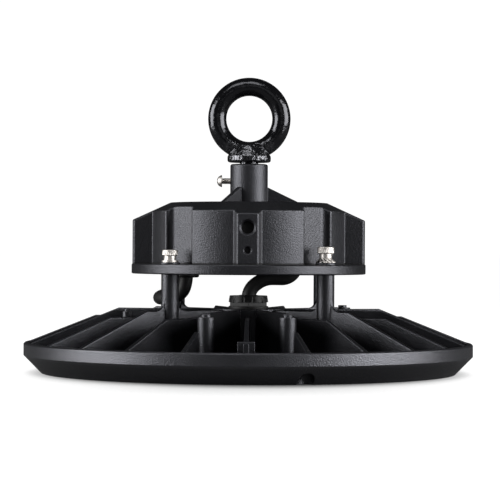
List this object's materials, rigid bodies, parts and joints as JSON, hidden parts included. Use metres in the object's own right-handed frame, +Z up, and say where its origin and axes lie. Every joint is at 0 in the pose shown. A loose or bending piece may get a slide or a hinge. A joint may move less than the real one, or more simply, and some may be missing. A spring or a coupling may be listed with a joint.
{
  "type": "high bay light",
  "caption": "Round high bay light: a finned cast heat sink with lens plate under it, a driver on posts above it and a lifting eye on top, with its mains lead coiled behind",
  "frame": {"origin": "centre of the round foot face that the lamp stands on, under the lifting axis", "axes": "+Z up along the lifting axis; the front, with the plugged port, faces -Y; +X is to the right when the front is seen"},
  "size_m": [0.2928, 0.4377, 0.1927],
  "materials": {
    "powder_coat": "die-cast aluminium, black powder coat with fine grain",
    "gloss_black": "forged steel, glossy black paint",
    "lens": "clear moulded polycarbonate",
    "pad_grey": "soft, matt",
    "board_aluminium": "white solder mask",
    "lamp_yellow": "phosphor under silicone",
    "seal_rubber": "matt",
    "steel_screw": "zinc plated",
    "nickel": "bright nickel plate",
    "nylon": "moulded nylon",
    "lead_sheath": "matt rubber sheath",
    "core_insulation": "smooth core insulation",
    "board_green": "green solder mask",
    "ferrite": "dull ferrite and tape",
    "can_sleeve": "shrunk sleeve",
    "terminal_green": "moulded"
  },
  "bodies": {
    "root": {"heat_sink": "powder_coat", "thermal_pad": "pad_grey", "led_board": "board_aluminium", "led_chips": "lamp_yellow", "lens_plate": "lens", "lens_gasket": "seal_rubber", "lens_bezel": "powder_coat", "bezel_screws": "steel_screw", "hub_seal": "seal_rubber", "hub_gland_body": "nylon", "hub_gland_nut": "nylon", "dc_lead": "lead_sheath", "dc_grommet": "seal_rubber", "driver_base": "powder_coat", "base_gasket": "seal_rubber", "driver_housing": "powder_coat", "housing_screws": "steel_screw", "port_plug": "seal_rubber", "driver_board": "board_green", "board_standoffs": "steel_screw", "transformer": "ferrite", "capacitors": "can_sleeve", "choke": "ferrite", "terminal_block": "terminal_green", "eye_bolt": "gloss_black", "neck_lock_screw": "nickel", "flange_screws": "nickel", "spring_washers": "nickel", "flat_washers": "nickel", "tooth_washer": "nickel", "mains_gland_body": "nylon", "mains_gland_nut": "nylon", "mains_lead": "lead_sheath", "mains_lead_coil": "lead_sheath", "mains_cores": "core_insulation"}
  },
  "joints": []
}
